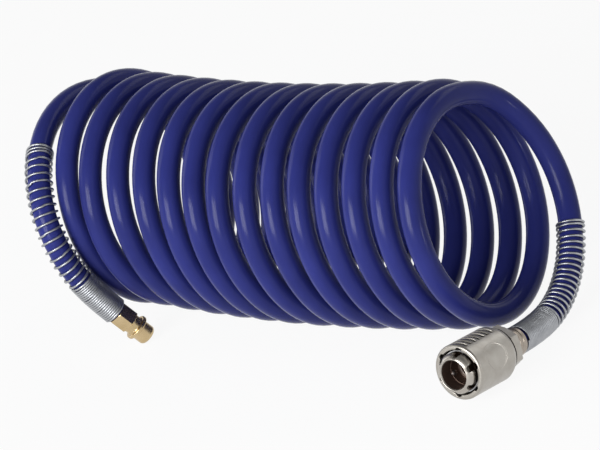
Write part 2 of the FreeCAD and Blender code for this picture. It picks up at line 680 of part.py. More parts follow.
def spring_guard(label, rail, place, start, closed, reach):
    """A bend guard: closed curls against the fitting, then closer ones, then open ones over the free hose."""
    wire, radius = size("guard_wire"), size("guard_radius")
    close, open_turns = size("guard_close_turns"), size("guard_open_turns")
    begin = start + closed - wire
    close_pitch = size("guard_close_pitch")
    open_pitch = (reach - wire - begin - close * close_pitch) / (open_turns - 0.5)

    def curve(turn):
        # the pitch grows from close to open over one turn
        free = max(0.0, turn - close)
        opening = free * free / 2 if free < 1 else free - 0.5
        distance = begin + turn * close_pitch + opening * (open_pitch - close_pitch)
        return rail.around(distance, radius, 2 * math.pi * turn)

    steps = 24
    points = [curve(i / steps) for i in range(int((close + open_turns) * steps) + 1)]
    turn_length = 2 * math.pi * radius
    gap = least_gap(points, turn_length / steps, wire, turn_length)
    curls = square_wire(label, curve, close + open_turns, wire, gap)
    tube = Part.makeCylinder(size("guard_outer") / 2, closed, Vector(0, 0, -start - closed))
    bore = Part.makeCylinder(size("guard_bore") / 2, 2 * closed, Vector(0, 0, -start - 1.5 * closed))
    tube = tube.cut(bore)
    tube.Placement = place
    return feature(label, tube.fuse(curls))


def coil_spring(label, place, bottom, top, radius, wire, turns):
    """A compression spring about a fitting's Z axis, between two faces."""
    clear = wire * 0.6
    pitch = (top - bottom - 2 * clear) / turns

    def curve(turn):
        local = Vector(radius * math.cos(2 * math.pi * turn), radius * math.sin(2 * math.pi * turn),
                       bottom + clear + pitch * turn)
        return place.multVec(local)

    return feature(label, square_wire(label, curve, turns, wire, pitch - wire))


def fitting_place(path, side):
    """Placement of a fitting: Z on from the hose's cut end, X towards a given side."""
    edge = path.Edges[-1]
    axis = edge.tangentAt(edge.LastParameter)
    return Placement(edge.valueAt(edge.LastParameter), Rotation(side, Vector(), axis, "ZXY"))


plug_path = tail_path("hose_tail_plug", -1, PLUG_ROUTE, 20.4)
socket_path = tail_path("hose_tail_socket", 1, SOCKET_ROUTE, 21.5)
plug_place = fitting_place(plug_path, Vector(1, 0, 0.3))
socket_place = fitting_place(socket_path, Vector(1, 0, 0.3))

pieces = [
    hose_coil(),
    hose_tail("hose_tail_plug", plug_path, plug_place),
    hose_tail("hose_tail_socket", socket_path, socket_place),
    spring_guard("plug_spring_guard", Rail(plug_path), plug_place, 0.0, size("plug_guard_closed"),
                 size("plug_guard_reach")),
    spring_guard("socket_spring_guard", Rail(socket_path), socket_place, size("socket_ferrule_length"),
                 size("socket_guard_closed"), size("socket_guard_reach")),
    coil_spring("sleeve_spring", socket_place,
                size("adapter_hex_length") + size("flange_length") + size("washer_thickness"), size("land_rear"),
                size("sleeve_spring_radius"), size("sleeve_spring_wire"), size("sleeve_spring_turns")),
    coil_spring("valve_spring", socket_place,
                size("adapter_hex_length") + size("thread_length") - size("spring_pocket_depth"),
                size("poppet_head_rear"),
                size("valve_spring_radius"), size("valve_spring_wire"), size("valve_spring_turns")),
]
plug = plug_body()
plug.Placement = plug_place
pieces.append(plug)
coupler = [make() for make in (socket_rear_adapter, socket_ferrule, socket_body, socket_sleeve, sleeve_stop_ring,
                               spring_washer, valve_poppet)]
coupler += [
    ring_seal("plug_seal", "(seal_groove - seal_section - ring_slack) / 2", "seal_section",
              "socket_length - seal_depth"),
    ring_seal("valve_seal", "valve_seal_radius", "valve_seal_section", "valve_seal_place"),
    ring_seal("adapter_seal", "thread_size / 2 + 0.6 * adapter_seal_section", "adapter_seal_section",
              "adapter_hex_length + 0.6 * adapter_seal_section"),
]
for piece in coupler:
    piece.Placement = socket_place
coupler[0].Placement = socket_place.multiply(Placement(Vector(), Rotation(size("adapter_turn"), 0, 0)))
pieces += coupler
pieces += [lock_ball(index, socket_place) for index in range(int(size("ball_count")))]

doc.recompute()
for member in doc.Objects:
    if "Invalid" in member.State or "Error" in member.State:
        raise RuntimeError("%s failed: %s" % (member.Label, member.State))
for piece in pieces:
    if piece.Shape.isNull() or not piece.Shape.isValid():
        raise RuntimeError("%s has no valid shape" % piece.Label)

os.makedirs("parts", exist_ok=True)
box = FreeCAD.BoundBox()
for piece in pieces:
    piece.Shape.exportStep("parts/%s.step" % piece.Label)
    box.add(piece.Shape.BoundBox)
    low = piece.Shape.BoundBox
    print("%-22s %9.1f mm3, %d solid, x %.1f to %.1f, z from %.2f"
          % (piece.Label, piece.Shape.Volume, len(piece.Shape.Solids), low.XMin, low.XMax, low.ZMin))
print("box", box)
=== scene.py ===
import math

import bmesh
import bpy
import numpy as np
from mathutils import Matrix, Vector


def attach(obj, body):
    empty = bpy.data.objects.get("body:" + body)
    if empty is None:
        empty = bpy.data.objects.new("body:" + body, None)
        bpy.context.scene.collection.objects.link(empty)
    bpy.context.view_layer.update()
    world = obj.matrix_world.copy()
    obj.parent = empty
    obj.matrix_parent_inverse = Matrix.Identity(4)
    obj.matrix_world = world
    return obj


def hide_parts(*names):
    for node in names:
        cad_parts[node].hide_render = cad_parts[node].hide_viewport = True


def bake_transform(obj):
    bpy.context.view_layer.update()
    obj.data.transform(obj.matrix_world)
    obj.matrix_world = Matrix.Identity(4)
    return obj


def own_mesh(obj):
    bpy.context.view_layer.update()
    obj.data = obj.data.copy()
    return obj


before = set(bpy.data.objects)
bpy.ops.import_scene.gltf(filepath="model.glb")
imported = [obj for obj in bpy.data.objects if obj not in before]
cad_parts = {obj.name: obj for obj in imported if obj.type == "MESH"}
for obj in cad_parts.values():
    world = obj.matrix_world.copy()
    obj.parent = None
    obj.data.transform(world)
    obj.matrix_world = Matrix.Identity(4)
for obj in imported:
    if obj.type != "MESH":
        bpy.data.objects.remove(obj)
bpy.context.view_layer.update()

# A coiled air hose with a brass quick plug and a nickel-plated quick coupler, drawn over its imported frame.
# Lengths are in millimetres and turned to metres where geometry is made. Those of the stage, of the
# springs' wire and of distances along the hose are in metres.

MM = 0.001


# Places that the frame shares with the part

# Middle of the coil's axis over the floor; the routes and the camera are measured from it.
COIL_MIDDLE = Vector((-7.6, 8.3, 0.0))


def placed(x, y, z):
    """A place in millimetres that is measured from the coil's middle."""
    return COIL_MIDDLE + Vector((x, y, z))


PLUG_HOSE_END = placed(-86.5, -47.1, 18.0)
COUPLER_HOSE_END = placed(134.1, -37.0, 10.3)
PLUG_AXIS = Vector((5.7, 8.3, -16.7)).normalized()
COUPLER_AXIS = Vector((2.6, -22.5, 4.1)).normalized()


def fitting_matrix(hose_end, axis):
    """From a fitting's own millimetres, Z on from the hose's cut end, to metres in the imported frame."""
    side = Vector((1.0, 0.0, 0.3))
    side = (side - axis * side.dot(axis)).normalized()
    turn = Matrix((side, axis.cross(side), axis)).transposed()
    return Matrix.Translation(hose_end * MM) @ (turn.to_4x4() @ Matrix.Scale(MM, 4))


ON_PLUG = fitting_matrix(PLUG_HOSE_END, PLUG_AXIS)
ON_COUPLER = fitting_matrix(COUPLER_HOSE_END, COUPLER_AXIS)


def in_scene(name, data):
    """A new object that holds this data, linked into the scene."""
    made = bpy.data.objects.new(name, data)
    bpy.context.scene.collection.objects.link(made)
    return made


# Camera at the photograph's place

def add_camera():
    data = bpy.data.cameras.new("photo_camera")
    data.sensor_width = 36.0
    data.lens = 293.23
    data.clip_end = 20.0
    camera = in_scene("photo_camera", data)
    right = Vector((0.69991, 0.64731, -0.30185))
    up = Vector((-0.04337, 0.46036, 0.88668))
    back = Vector((0.71292, -0.60750, 0.35028))
    camera.matrix_world = Matrix((right, up, back)).transposed().to_4x4()
    camera.location = placed(1490.6, -1275.2, 775.7) * MM
    bpy.context.scene.camera = camera


# The hose's line, from the coupler to the plug, as control points of one spline

POINTS_PER_TURN = 16
# Where the coil begins and ends, in turns counted from the plug's end
COIL_FIRST, COIL_LAST = 0.5, 14.25
COIL_RADIUS = 46.5
# How much wider the first turn and narrower the last one get
END_GROWTH = 2
COIL_PITCH = 16.0
COIL_HEIGHT = 53.17
# Angle round the coil at its middle, from the -Y side upwards
COIL_ANGLE = math.radians(160)
# The turns lean along the coil by these shares of a place's distance back and up from the coil's axis.
LEAN_BACK, LEAN_UP = 0.2, 0.17
# The coil's ends stand this far back and up from its middle, which itself is set down by a share of that.
BOW_BACK, BOW_UP = 2.5, 4.5
BOW_MIDDLE = 0.35
# A spline of this order runs inside its control points by this much.
SPLINE_DRAW = 0.981

# The turns lie a little unevenly. Each shift along the coil belongs to a turn counted from the plug's end,
# whole on the coil's near side and half a turn on behind.
TURN_SHIFTS = {
    1.5: 0.9, 2.0: -1.7, 2.5: 0.7, 3.0: 0.9, 3.5: -0.8, 4.0: 1.9, 4.5: -0.4, 5.0: 1.2, 6.0: 0.3, 7.0: -1.6,
    8.0: -0.7, 9.0: 0.3,
}
# A turn is nearest to the camera this much before its whole number.
NEAR_SIDE = 0.07


def turn_shift(n):
    """How far the coil's line is moved along the coil at turn n, fading out between the sides."""
    place = n + NEAR_SIDE
    nearest = round(2 * place) / 2
    return TURN_SHIFTS.get(nearest, 0.0) * math.cos(2 * math.pi * (place - nearest)) ** 2


def coil_control(n):
    """Control point at turn n of the leaning, slightly bowed coil."""
    turn = n - (COIL_FIRST + COIL_LAST) / 2
    growing = min(max(COIL_FIRST + 1 - n, 0), 1)
    drawing = min(max(n - (COIL_LAST - 1), 0), 1)
    radius = (COIL_RADIUS + END_GROWTH * growing ** 2 - END_GROWTH * drawing ** 2) / SPLINE_DRAW
    angle = 2 * math.pi * turn + COIL_ANGLE
    y, z = -radius * math.cos(angle), radius * math.sin(angle)
    x = COIL_PITCH * turn - LEAN_BACK * y - LEAN_UP * z - END_GROWTH * drawing ** 2 + turn_shift(n)
    bow = (turn / ((COIL_LAST - COIL_FIRST) / 2)) ** 2 - BOW_MIDDLE
    return placed(x, y + BOW_BACK * bow, COIL_HEIGHT + z + BOW_UP * bow)


COUPLER_TAIL = [
    (134.1, -37.0, 10.3), (131.6, -16.5, 6.3), (128.3, 4.6, 7.4), (123.5, 22.8, 16.3), (117.8, 36.4, 31.0),
    (111.2, 43.8, 49.9), (104.2, 43.7, 70.0), (96.6, 34.9, 89.6),
]
PLUG_TAIL = [
    (-119.8, 52.0, 49.4), (-125.4, 42.9, 75.3), (-127.6, 23.6, 92.4), (-126.0, -0.6, 99.2),
    (-118.0, -26.6, 96.4), (-105.8, -49.2, 83.4), (-96.9, -59.7, 60.7), (-92.2, -55.4, 34.7),
    (-86.5, -47.1, 18.0),
]


def hose_controls():
    """All control points of the hose's line, in millimetres."""
    count = int((COIL_LAST - COIL_FIRST) * POINTS_PER_TURN)
    coil = [coil_control(COIL_LAST - (i + 0.5) / POINTS_PER_TURN) for i in range(count)]
    return [placed(*p) for p in COUPLER_TAIL] + coil + [placed(*p) for p in PLUG_TAIL]


def spline_line(name, controls, resolution):
    """Points along a NURBS spline with these control points, in metres."""
    curve = bpy.data.curves.new(name, "CURVE")
    curve.dimensions = "3D"
    spline = curve.splines.new("NURBS")
    spline.points.add(len(controls) - 1)
    for point, place in zip(spline.points, controls):
        point.co = (*(place * MM), 1.0)
    spline.order_u = 3
    spline.use_endpoint_u = True
    spline.resolution_u = resolution
    holder = in_scene(name, curve)
    line = bpy.data.meshes.new_from_object(holder)
    points = np.array([v.co for v in line.vertices], float)
    bpy.data.objects.remove(holder)
    bpy.data.curves.remove(curve)
    bpy.data.meshes.remove(line)
    apart = np.linalg.norm(np.diff(points, axis=0), axis=1) > 1e-7
    return points[np.r_[True, apart]]


def along(points):
    """Distance of each point from the first one."""
    return np.r_[0.0, np.cumsum(np.linalg.norm(np.diff(points, axis=0), axis=1))]


def untwisted_frames(points):
    """Tangents and normals that turn no more than the line does."""
    tangents = np.gradient(points, along(points), axis=0)
    tangents /= np.linalg.norm(tangents, axis=1)[:, None]
    normal = np.array([0.0, 0.0, 1.0])
    normals = []
    for tangent in tangents:
        normal = normal - tangent * normal.dot(tangent)
        normal /= np.linalg.norm(normal)
        normals.append(normal)
    return tangents, np.array(normals)


# Making pieces

def new_piece(name, mesh, material, body, nodes):
    """An object at the origin that stands for CAD nodes.

    material is None where the mesh already has one, and body is None where the piece is attached to no body.
    """
    mesh.name = name
    piece = in_scene(name, mesh)
    if material is not None:
        mesh.materials.clear()
        mesh.materials.append(material)
    if body:
        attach(piece, body)
    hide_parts(*nodes)
    return piece


def skin_faces(rings, sides, closed):
    """Faces between neighbouring rings of points.

    closed joins the last ring to the first, else both have caps.
    """
    faces = []
    for i in range(rings if closed else rings - 1):
        j = (i + 1) % rings
        for k in range(sides):
            m = (k + 1) % sides
            faces.append((i * sides + k, j * sides + k, j * sides + m, i * sides + m))
    if not closed:
        faces += [tuple(range(sides)), tuple(reversed(range((rings - 1) * sides, rings * sides)))]
    return faces


def face_outwards(mesh, merge=False):
    """Turns a closed mesh's faces outwards, its doubled points merged first where asked."""
    shape = bmesh.new()
    shape.from_mesh(mesh)
    if merge:
        bmesh.ops.remove_doubles(shape, verts=shape.verts, dist=1e-4)
        bmesh.ops.dissolve_degenerate(shape, edges=shape.edges, dist=1e-5)
    bmesh.ops.recalc_face_normals(shape, faces=shape.faces)
    shape.to_mesh(mesh)
    shape.free()


def smooth_by_angle(mesh, degrees):
    """Smooth shading with the edges sharper than an angle kept sharp."""
    mesh.polygons.foreach_set("use_smooth", np.ones(len(mesh.polygons), bool))
    shape = bmesh.new()
    shape.from_mesh(mesh)
    for edge in shape.edges:
        edge.smooth = len(edge.link_faces) < 2 or edge.calc_face_angle(0.0) < math.radians(degrees)
    shape.to_mesh(mesh)
    shape.free()


def rounded(profile, default=0.15, steps=3):
    """A closed outline of (radius, height[, rounding]) corners with its corners rounded."""
    corners = [np.array(c[:2], float) for c in profile]
    sizes = [c[2] if len(c) > 2 else default for c in profile]
    out = []
    for i, corner in enumerate(corners):
        before, after = corners[i - 1] - corner, corners[(i + 1) % len(corners)] - corner
        a, b = np.linalg.norm(before), np.linalg.norm(after)
        cut = min(sizes[i], 0.45 * a, 0.45 * b)
        if cut < 1e-4 or corner[0] < 1e-6:
            out.append(corner)
            continue
        start, end = corner + before / a * cut, corner + after / b * cut
        for k in range(steps + 1):
            t = k / steps
            out.append((1 - t) ** 2 * start + 2 * t * (1 - t) * corner + t * t * end)
    return np.array(out)


def turned(name, outline, segments=96, shape=None):
    """A mesh turned about Z from a closed outline in millimetres. shape changes the radius with angle."""
    outline = np.asarray(outline, float)
    angles = np.arange(segments) * 2 * math.pi / segments
    radii = np.repeat(outline[None, :, 0], segments, 0)
    heights = np.repeat(outline[None, :, 1], segments, 0)
    if shape is not None:
        radii, heights = shape(radii, heights, angles[:, None])
    across, upright = np.cos(angles)[:, None], np.sin(angles)[:, None]
    points = np.stack([radii * across, radii * upright, heights], -1)
    mesh = bpy.data.meshes.new(name)
    mesh.from_pydata(points.reshape(-1, 3).tolist(), [], skin_faces(segments, len(outline), closed=True))
    face_outwards(mesh, merge=True)
    return mesh


def finished(mesh, place, degrees=35):
    """Puts a mesh made in a fitting's millimetres in its place and shades it."""
    mesh.transform(place)
    smooth_by_angle(mesh, degrees)
    return mesh


# Node trees

class Wiring:
    """Adds nodes to a tree, links what is a socket and sets what is a value."""

    def __init__(self, tree):
        self.tree = tree

    def node(self, kind, inputs=None, **settings):
        made = self.tree.nodes.new(kind)
        for key, value in settings.items():
            setattr(made, key, value)
        for key, value in (inputs or {}).items():
            if isinstance(value, bpy.types.NodeSocket):
                self.tree.links.new(value, made.inputs[key])
            else:
                made.inputs[key].default_value = value
        return made

    def math(self, operation, *values):
        return self.node("ShaderNodeMath", dict(enumerate(values)), operation=operation).outputs[0]

    def vector(self, operation, first, second):
        inputs = {0: first, 1: second}
        if operation == "SCALE":
            inputs = {0: first, "Scale": second}
        return self.node("ShaderNodeVectorMath", inputs, operation=operation).outputs[0]


def group_socket(tree, name, kind, way="INPUT", value=None):
    socket = tree.interface.new_socket(name, in_out=way, socket_type=kind)
    if value is not None:
        socket.default_value = value


WIRE_SIDES = 10


def wound_wire_tree():
    """Winds a round wire about a line: closed curls, open curls, then a few nearly closed ones."""
    tree = bpy.data.node_groups.new("wound_wire", "GeometryNodeTree")
    group_socket(tree, "Geometry", "NodeSocketGeometry")
    for name, value in (("Wire radius", 0.0006), ("Winding radius", 0.0057), ("Closed length", 0.02),
                        ("Closed pitch", 0.00122), ("Open length", 0.06), ("Open pitch", 0.0035),
                        ("End pitch", 0.0014)):
        group_socket(tree, name, "NodeSocketFloat", value=value)
    group_socket(tree, "Steps", "NodeSocketInt", value=1000)
    group_socket(tree, "Material", "NodeSocketMaterial")
    group_socket(tree, "Geometry", "NodeSocketGeometry", "OUTPUT")
    wire = Wiring(tree)
    given = wire.node("NodeGroupInput").outputs
    line = wire.node("GeometryNodeMeshToCurve", {"Mesh": given["Geometry"]}).outputs["Curve"]
    line = wire.node("GeometryNodeResampleCurve", {"Curve": line, "Count": given["Steps"]}).outputs["Curve"]

    # the angle turned through at each distance along the line, from the pitch of each stretch
    distance = wire.node("GeometryNodeInputNamedAttribute", {"Name": "distance"},
                         data_type="FLOAT").outputs["Attribute"]
    closed = wire.math("MINIMUM", distance, given["Closed length"])
    closed = wire.math("DIVIDE", closed, given["Closed pitch"])
    past = wire.math("MAXIMUM", wire.math("SUBTRACT", distance, given["Closed length"]), 0.0)
    opened = wire.math("DIVIDE", wire.math("MINIMUM", past, given["Open length"]), given["Open pitch"])
    past = wire.math("MAXIMUM", wire.math("SUBTRACT", past, given["Open length"]), 0.0)
    ended = wire.math("DIVIDE", past, given["End pitch"])
    turns = wire.math("ADD", wire.math("ADD", closed, opened), ended)
    angle = wire.math("MULTIPLY", turns, 2 * math.pi)

    normal = wire.node("GeometryNodeInputNormal").outputs["Normal"]
    tangent = wire.node("GeometryNodeInputTangent").outputs["Tangent"]
    side = wire.vector("CROSS_PRODUCT", tangent, normal)
    across = wire.vector("SCALE", normal, wire.math("COSINE", angle))
    upright = wire.vector("SCALE", side, wire.math("SINE", angle))
    offset = wire.vector("SCALE", wire.vector("ADD", across, upright), given["Winding radius"])
    wound = wire.node("GeometryNodeSetPosition", {"Geometry": line, "Offset": offset}).outputs["Geometry"]
    section = wire.node("GeometryNodeCurvePrimitiveCircle", {
        "Resolution": WIRE_SIDES, "Radius": given["Wire radius"]}, mode="RADIUS").outputs["Curve"]
    solid = wire.node("GeometryNodeCurveToMesh", {
        "Curve": wound, "Profile Curve": section, "Fill Caps": True}).outputs["Mesh"]
    shaded = wire.node("GeometryNodeSetShadeSmooth", {"Geometry": solid}).outputs["Geometry"]
    real = wire.node("GeometryNodeRealizeInstances", {"Geometry": shaded}).outputs["Geometry"]
    coloured = wire.node("GeometryNodeSetMaterial", {"Geometry": real, "Material": given["Material"]})
    wire.node("NodeGroupOutput", {"Geometry": coloured.outputs["Geometry"]})
    return tree


def wound_wire(name, tree, points, values, material):
    """The mesh of a spring whose wire winds about a line of points in metres."""
    line = bpy.data.meshes.new(name + "_line")
    line.from_pydata([tuple(p) for p in points], [(i, i + 1) for i in range(len(points) - 1)], [])
    measure = line.attributes.new("distance", "FLOAT", "POINT")
    measure.data.foreach_set("value", along(points).astype(np.float32))
    holder = in_scene(name + "_line", line)
    winding = holder.modifiers.new("winding", "NODES")
    winding.node_group = tree
    given = {**values, "Material": material}
    for socket in tree.interface.items_tree:
        if socket.in_out == "INPUT" and socket.name in given:
            winding[socket.identifier] = given[socket.name]
    ready = bpy.context.evaluated_depsgraph_get()
    mesh = bpy.data.meshes.new_from_object(holder.evaluated_get(ready))
    bpy.data.objects.remove(holder)
    bpy.data.meshes.remove(line)
    return mesh


# Materials

def finish_group():
    """Small unevenness for any finish: grain, blotches and lines round an axis, each from 0 to 1."""
    tree = bpy.data.node_groups.new("finish", "ShaderNodeTree")
    group_socket(tree, "Place", "NodeSocketVector")
    group_socket(tree, "Grain size", "NodeSocketFloat", value=3000.0)
    group_socket(tree, "Blotch size", "NodeSocketFloat", value=150.0)
    group_socket(tree, "Line size", "NodeSocketFloat", value=9000.0)
    for name in ("Grain", "Blotch", "Lines"):
        group_socket(tree, name, "NodeSocketFloat", "OUTPUT")
    wire = Wiring(tree)
    given = wire.node("NodeGroupInput").outputs
    grain = wire.node("ShaderNodeTexNoise", {"Vector": given["Place"], "Scale": given["Grain size"],
                                             "Detail": 3.0, "Roughness": 0.6}).outputs[0]
    blotch = wire.node("ShaderNodeTexNoise", {"Vector": given["Place"], "Scale": given["Blotch size"],
                                              "Detail": 2.0}).outputs[0]
    height = wire.node("ShaderNodeSeparateXYZ", {0: given["Place"]}).outputs["Z"]
    lines = wire.node("ShaderNodeTexNoise", {"W": wire.math("MULTIPLY", height, given["Line size"]),
                                             "Scale": 1.0, "Detail": 4.0}, noise_dimensions="1D").outputs[0]
    wire.node("NodeGroupOutput", {"Grain": grain, "Blotch": blotch, "Lines": lines})
    return tree


def new_material(name):
    material = bpy.data.materials.new(name)
    material.use_nodes = True
    material.node_tree.nodes.clear()
    return material, Wiring(material.node_tree)


def spread(wire, value, low, high):
    """A noise value, mostly within 0.25 to 0.75, laid over a range."""
    return wire.node("ShaderNodeMapRange", {
        "Value": value, "From Min": 0.25, "From Max": 0.75, "To Min": low, "To Max": high,
    }).outputs["Result"]


def blend_colour(wire, share, first, second):
    """A mix of two colours, each a socket or red, green and blue."""
    ends = [end if isinstance(end, bpy.types.NodeSocket) else (*end, 1.0) for end in (first, second)]
    return wire.node("ShaderNodeMix", {0: share, 6: ends[0], 7: ends[1]}, data_type="RGBA").outputs[2]


def surface_marks(wire, group, place, sizes=None):
    """What the finish group gives at a place, with its own sizes where none are named."""
    return wire.node("ShaderNodeGroup", {"Place": place, **(sizes or {})}, node_tree=group).outputs


# Painted shade: colours that metal is darkened to in recesses and hidden places, where shade falls.
DARK_SHADE = (0.02, 0.014, 0.01)
RECESS_SHADE_BLACK = (0.004, 0.003, 0.002)


def metal(name, group, colour, dark, rough, axis_place=None, lines=0.0, bump=0.02, shade_colour=DARK_SHADE):
    """A plated or bare metal, with turning lines about a fitting's axis where one is given.

    Painted shade: a point attribute darkens it towards a shade colour at 1, and past 1 to black.
    """
    material, wire = new_material(name)
    place = wire.node("ShaderNodeTexCoord").outputs["Object"]
    if axis_place is not None:
        turn = axis_place.inverted().to_3x3().normalized().to_euler()
        place = wire.node("ShaderNodeMapping", {"Vector": place, "Rotation": turn}).outputs["Vector"]
    marks = surface_marks(wire, group, place, {"Grain size": 2500.0, "Blotch size": 220.0})
    unshaded = blend_colour(wire, spread(wire, marks["Blotch"], 0.0, 1.0), dark, colour)
    # Painted shade from a point attribute: towards the shade colour up to 1, and towards black past 1.
    painted_shade = wire.node("ShaderNodeAttribute", attribute_name="painted_shade").outputs["Fac"]
    shade_painted = blend_colour(wire, painted_shade, unshaded, shade_colour)
    base = blend_colour(wire, wire.math("SUBTRACT", painted_shade, 1.0), shade_painted, RECESS_SHADE_BLACK)
    roughness = wire.math("ADD", spread(wire, marks["Grain"], rough * 0.8, rough * 1.2),
                          spread(wire, marks["Lines"], -lines, lines))
    roughness = wire.math("ADD", roughness, wire.math("MULTIPLY", painted_shade, 0.25))
    height = wire.math("ADD", wire.math("MULTIPLY", marks["Grain"], 0.4),
                       wire.math("MULTIPLY", marks["Lines"], 0.6 if lines else 0.0))
    bumped = wire.node("ShaderNodeBump", {"Height": height, "Strength": bump, "Distance": 0.0002})
    shader = wire.node("ShaderNodeBsdfPrincipled", {
        "Base Color": base, "Metallic": 1.0, "Roughness": roughness, "Normal": bumped.outputs["Normal"]})
    wire.node("ShaderNodeOutputMaterial", {"Surface": shader.outputs[0]})
    return material


def nylon(group):
    """Glossy dark blue nylon tube, with faint scuffs along it."""
    material, wire = new_material("hose_nylon")
    along_hose = wire.node("ShaderNodeUVMap", uv_map="hose_length").outputs["UV"]
    place = wire.node("ShaderNodeTexCoord").outputs["Object"]
    marks = surface_marks(wire, group, place, {"Grain size": 900.0, "Blotch size": 40.0})
    stretched = wire.node("ShaderNodeMapping", {"Vector": along_hose, "Scale": (14.0, 45.0, 1.0)})
    scuffs = wire.node("ShaderNodeTexNoise", {
        "Vector": stretched.outputs["Vector"], "Scale": 1.0, "Detail": 5.0, "Roughness": 0.7}).outputs[0]
    base = blend_colour(wire, spread(wire, marks["Blotch"], 0.0, 1.0),
                        (0.021, 0.026, 0.15), (0.029, 0.036, 0.20))
    roughness = wire.math("ADD", spread(wire, scuffs, 0.15, 0.25),
                          spread(wire, marks["Grain"], -0.02, 0.02))
    height = wire.math("ADD", wire.math("MULTIPLY", scuffs, 0.7),
                       wire.math("MULTIPLY", marks["Grain"], 0.3))
    bumped = wire.node("ShaderNodeBump", {"Height": height, "Strength": 0.05, "Distance": 0.0004})
    shader = wire.node("ShaderNodeBsdfPrincipled", {
        "Base Color": base, "Roughness": roughness, "IOR": 1.2, "Normal": bumped.outputs["Normal"]})
    wire.node("ShaderNodeOutputMaterial", {"Surface": shader.outputs[0]})
    return material


def rubber(group):
    """Matt black rubber of the seals."""
    material, wire = new_material("seal_rubber")
    marks = surface_marks(wire, group, wire.node("ShaderNodeTexCoord").outputs["Object"])
    base = blend_colour(wire, marks["Blotch"], (0.012, 0.012, 0.012), (0.03, 0.03, 0.03))
    bumped = wire.node("ShaderNodeBump", {"Height": marks["Grain"], "Strength": 0.1, "Distance": 0.0001})
    shader = wire.node("ShaderNodeBsdfPrincipled", {
        "Base Color": base, "Roughness": spread(wire, marks["Grain"], 0.45, 0.65),
        "Normal": bumped.outputs["Normal"]})
    wire.node("ShaderNodeOutputMaterial", {"Surface": shader.outputs[0]})
    return material


# Pieces of the hose

HOSE_SIDES = 32
HOSE_RADIUS = 5.0


def make_hose(points, material):
    """The whole hose as one round tube that follows its spline."""
    tangents, normals = untwisted_frames(points)
    sides = np.cross(tangents, normals)
    angles = np.arange(HOSE_SIDES) * 2 * math.pi / HOSE_SIDES
    across, upright = np.cos(angles)[None, :, None], np.sin(angles)[None, :, None]
    rings = normals[:, None, :] * across + sides[:, None, :] * upright
    skin = points[:, None, :] + rings * (HOSE_RADIUS * MM)
    lengths = along(points)
    faces = skin_faces(len(points), HOSE_SIDES, closed=False)
    mesh = bpy.data.meshes.new("air_hose")
    mesh.from_pydata(skin.reshape(-1, 3).tolist(), [], faces)
    unrolled = mesh.uv_layers.new(name="hose_length")
    for face in mesh.polygons[:-2]:
        first = face.index % HOSE_SIDES
        step = face.index // HOSE_SIDES
        around = (first, first, first + 1, first + 1)
        down = (step, step + 1, step + 1, step)
        for loop, a, d in zip(face.loop_indices, around, down):
            unrolled.data[loop].uv = (a / HOSE_SIDES, lengths[d])
    mesh.polygons.foreach_set("use_smooth", np.ones(len(mesh.polygons), bool))
    face_outwards(mesh)
    hose = new_piece("air_hose", mesh, material, None,
                     ["hose_coil", "hose_tail_plug", "hose_tail_socket"])
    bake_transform(hose)
    return hose, lengths[-1]


GUARD_LINE_POINTS = 120


def hose_end_line(points, first, last):
    """The stretch of a line of points between two distances from its start, evenly divided."""
    lengths = along(points)
    wanted = np.linspace(first, last, GUARD_LINE_POINTS)
    return np.stack([np.interp(wanted, lengths, points[:, k]) for k in range(3)], 1)


# Turned pieces, each an outline of (radius, height, rounding) corners in its fitting's millimetres

def hexagon_shape(across, high, turn=0.0):
    """Cuts a turned outline down to a hexagon up to a height, one flat's middle at a turn from X."""
    def shape(radii, heights, angles):
        beside = (angles - turn + math.pi / 6) % (math.pi / 3) - math.pi / 6
        face = across / 2 / np.cos(beside)
        inside = (heights > -0.01) & (heights < high + 0.01)
        return np.where(inside & (radii > face), face, radii), heights
    return shape


def barbed_stem():
    """Corners of a hose stem, from its end to the hexagon's rear face."""
    end = -10.0
    corners = [(2.5, end, 0.1), (3.5, end, 0.1)]
    for i in range(3):
        corners += [(4.0, end + 3 * i + 2.7, 0.05), (3.5, end + 3 * (i + 1), 0.05)]
    return corners + [(3.5, 0.0, 0.05)]


def plug_outline():
    return rounded(barbed_stem() + [
        (5.25, 0.0, 0.05), (5.774, 0.45, 0.1), (5.774, 7.05, 0.1), (5.25, 7.5, 0.05), (4.55, 7.5, 0.1),
        (4.3, 7.9, 0.2), (4.3, 10.6, 0.3), (4.6, 10.9, 0.1), (5.45, 10.9, 0.25), (5.8, 11.2, 0.2),
        (5.8, 12.3, 0.2), (5.45, 12.6, 0.25), (4.5, 12.6, 0.15), (4.5, 17.6, 0.5), (3.7, 18.6, 0.4),
        (2.8, 18.6, 0.1), (2.5, 18.2, 0.1)])


def adapter_outline():
    return rounded(barbed_stem() + [
        (8.9, 0.0, 0.05), (10.1, 0.7, 0.15), (10.1, 4.8, 0.15), (8.9, 5.5, 0.05), (6.6, 5.5, 0.1),
        (6.6, 10.0, 0.2), (4.9, 10.0, 0.1), (4.9, 5.0, 0.1), (2.5, 5.0, 0.1)])


def ferrule_outline():
    return rounded([
        (5.05, -8.0, 0.1), (5.9, -8.0, 0.2), (6.3, -7.6, 0.3), (6.3, -6.0, 0.3), (6.0, -5.3, 0.4),
        (6.3, -4.6, 0.3), (6.3, -3.4, 0.3), (6.0, -2.7, 0.4), (6.3, -2.0, 0.3), (6.3, -0.02, 0.15),
        (5.05, -0.02, 0.05)])


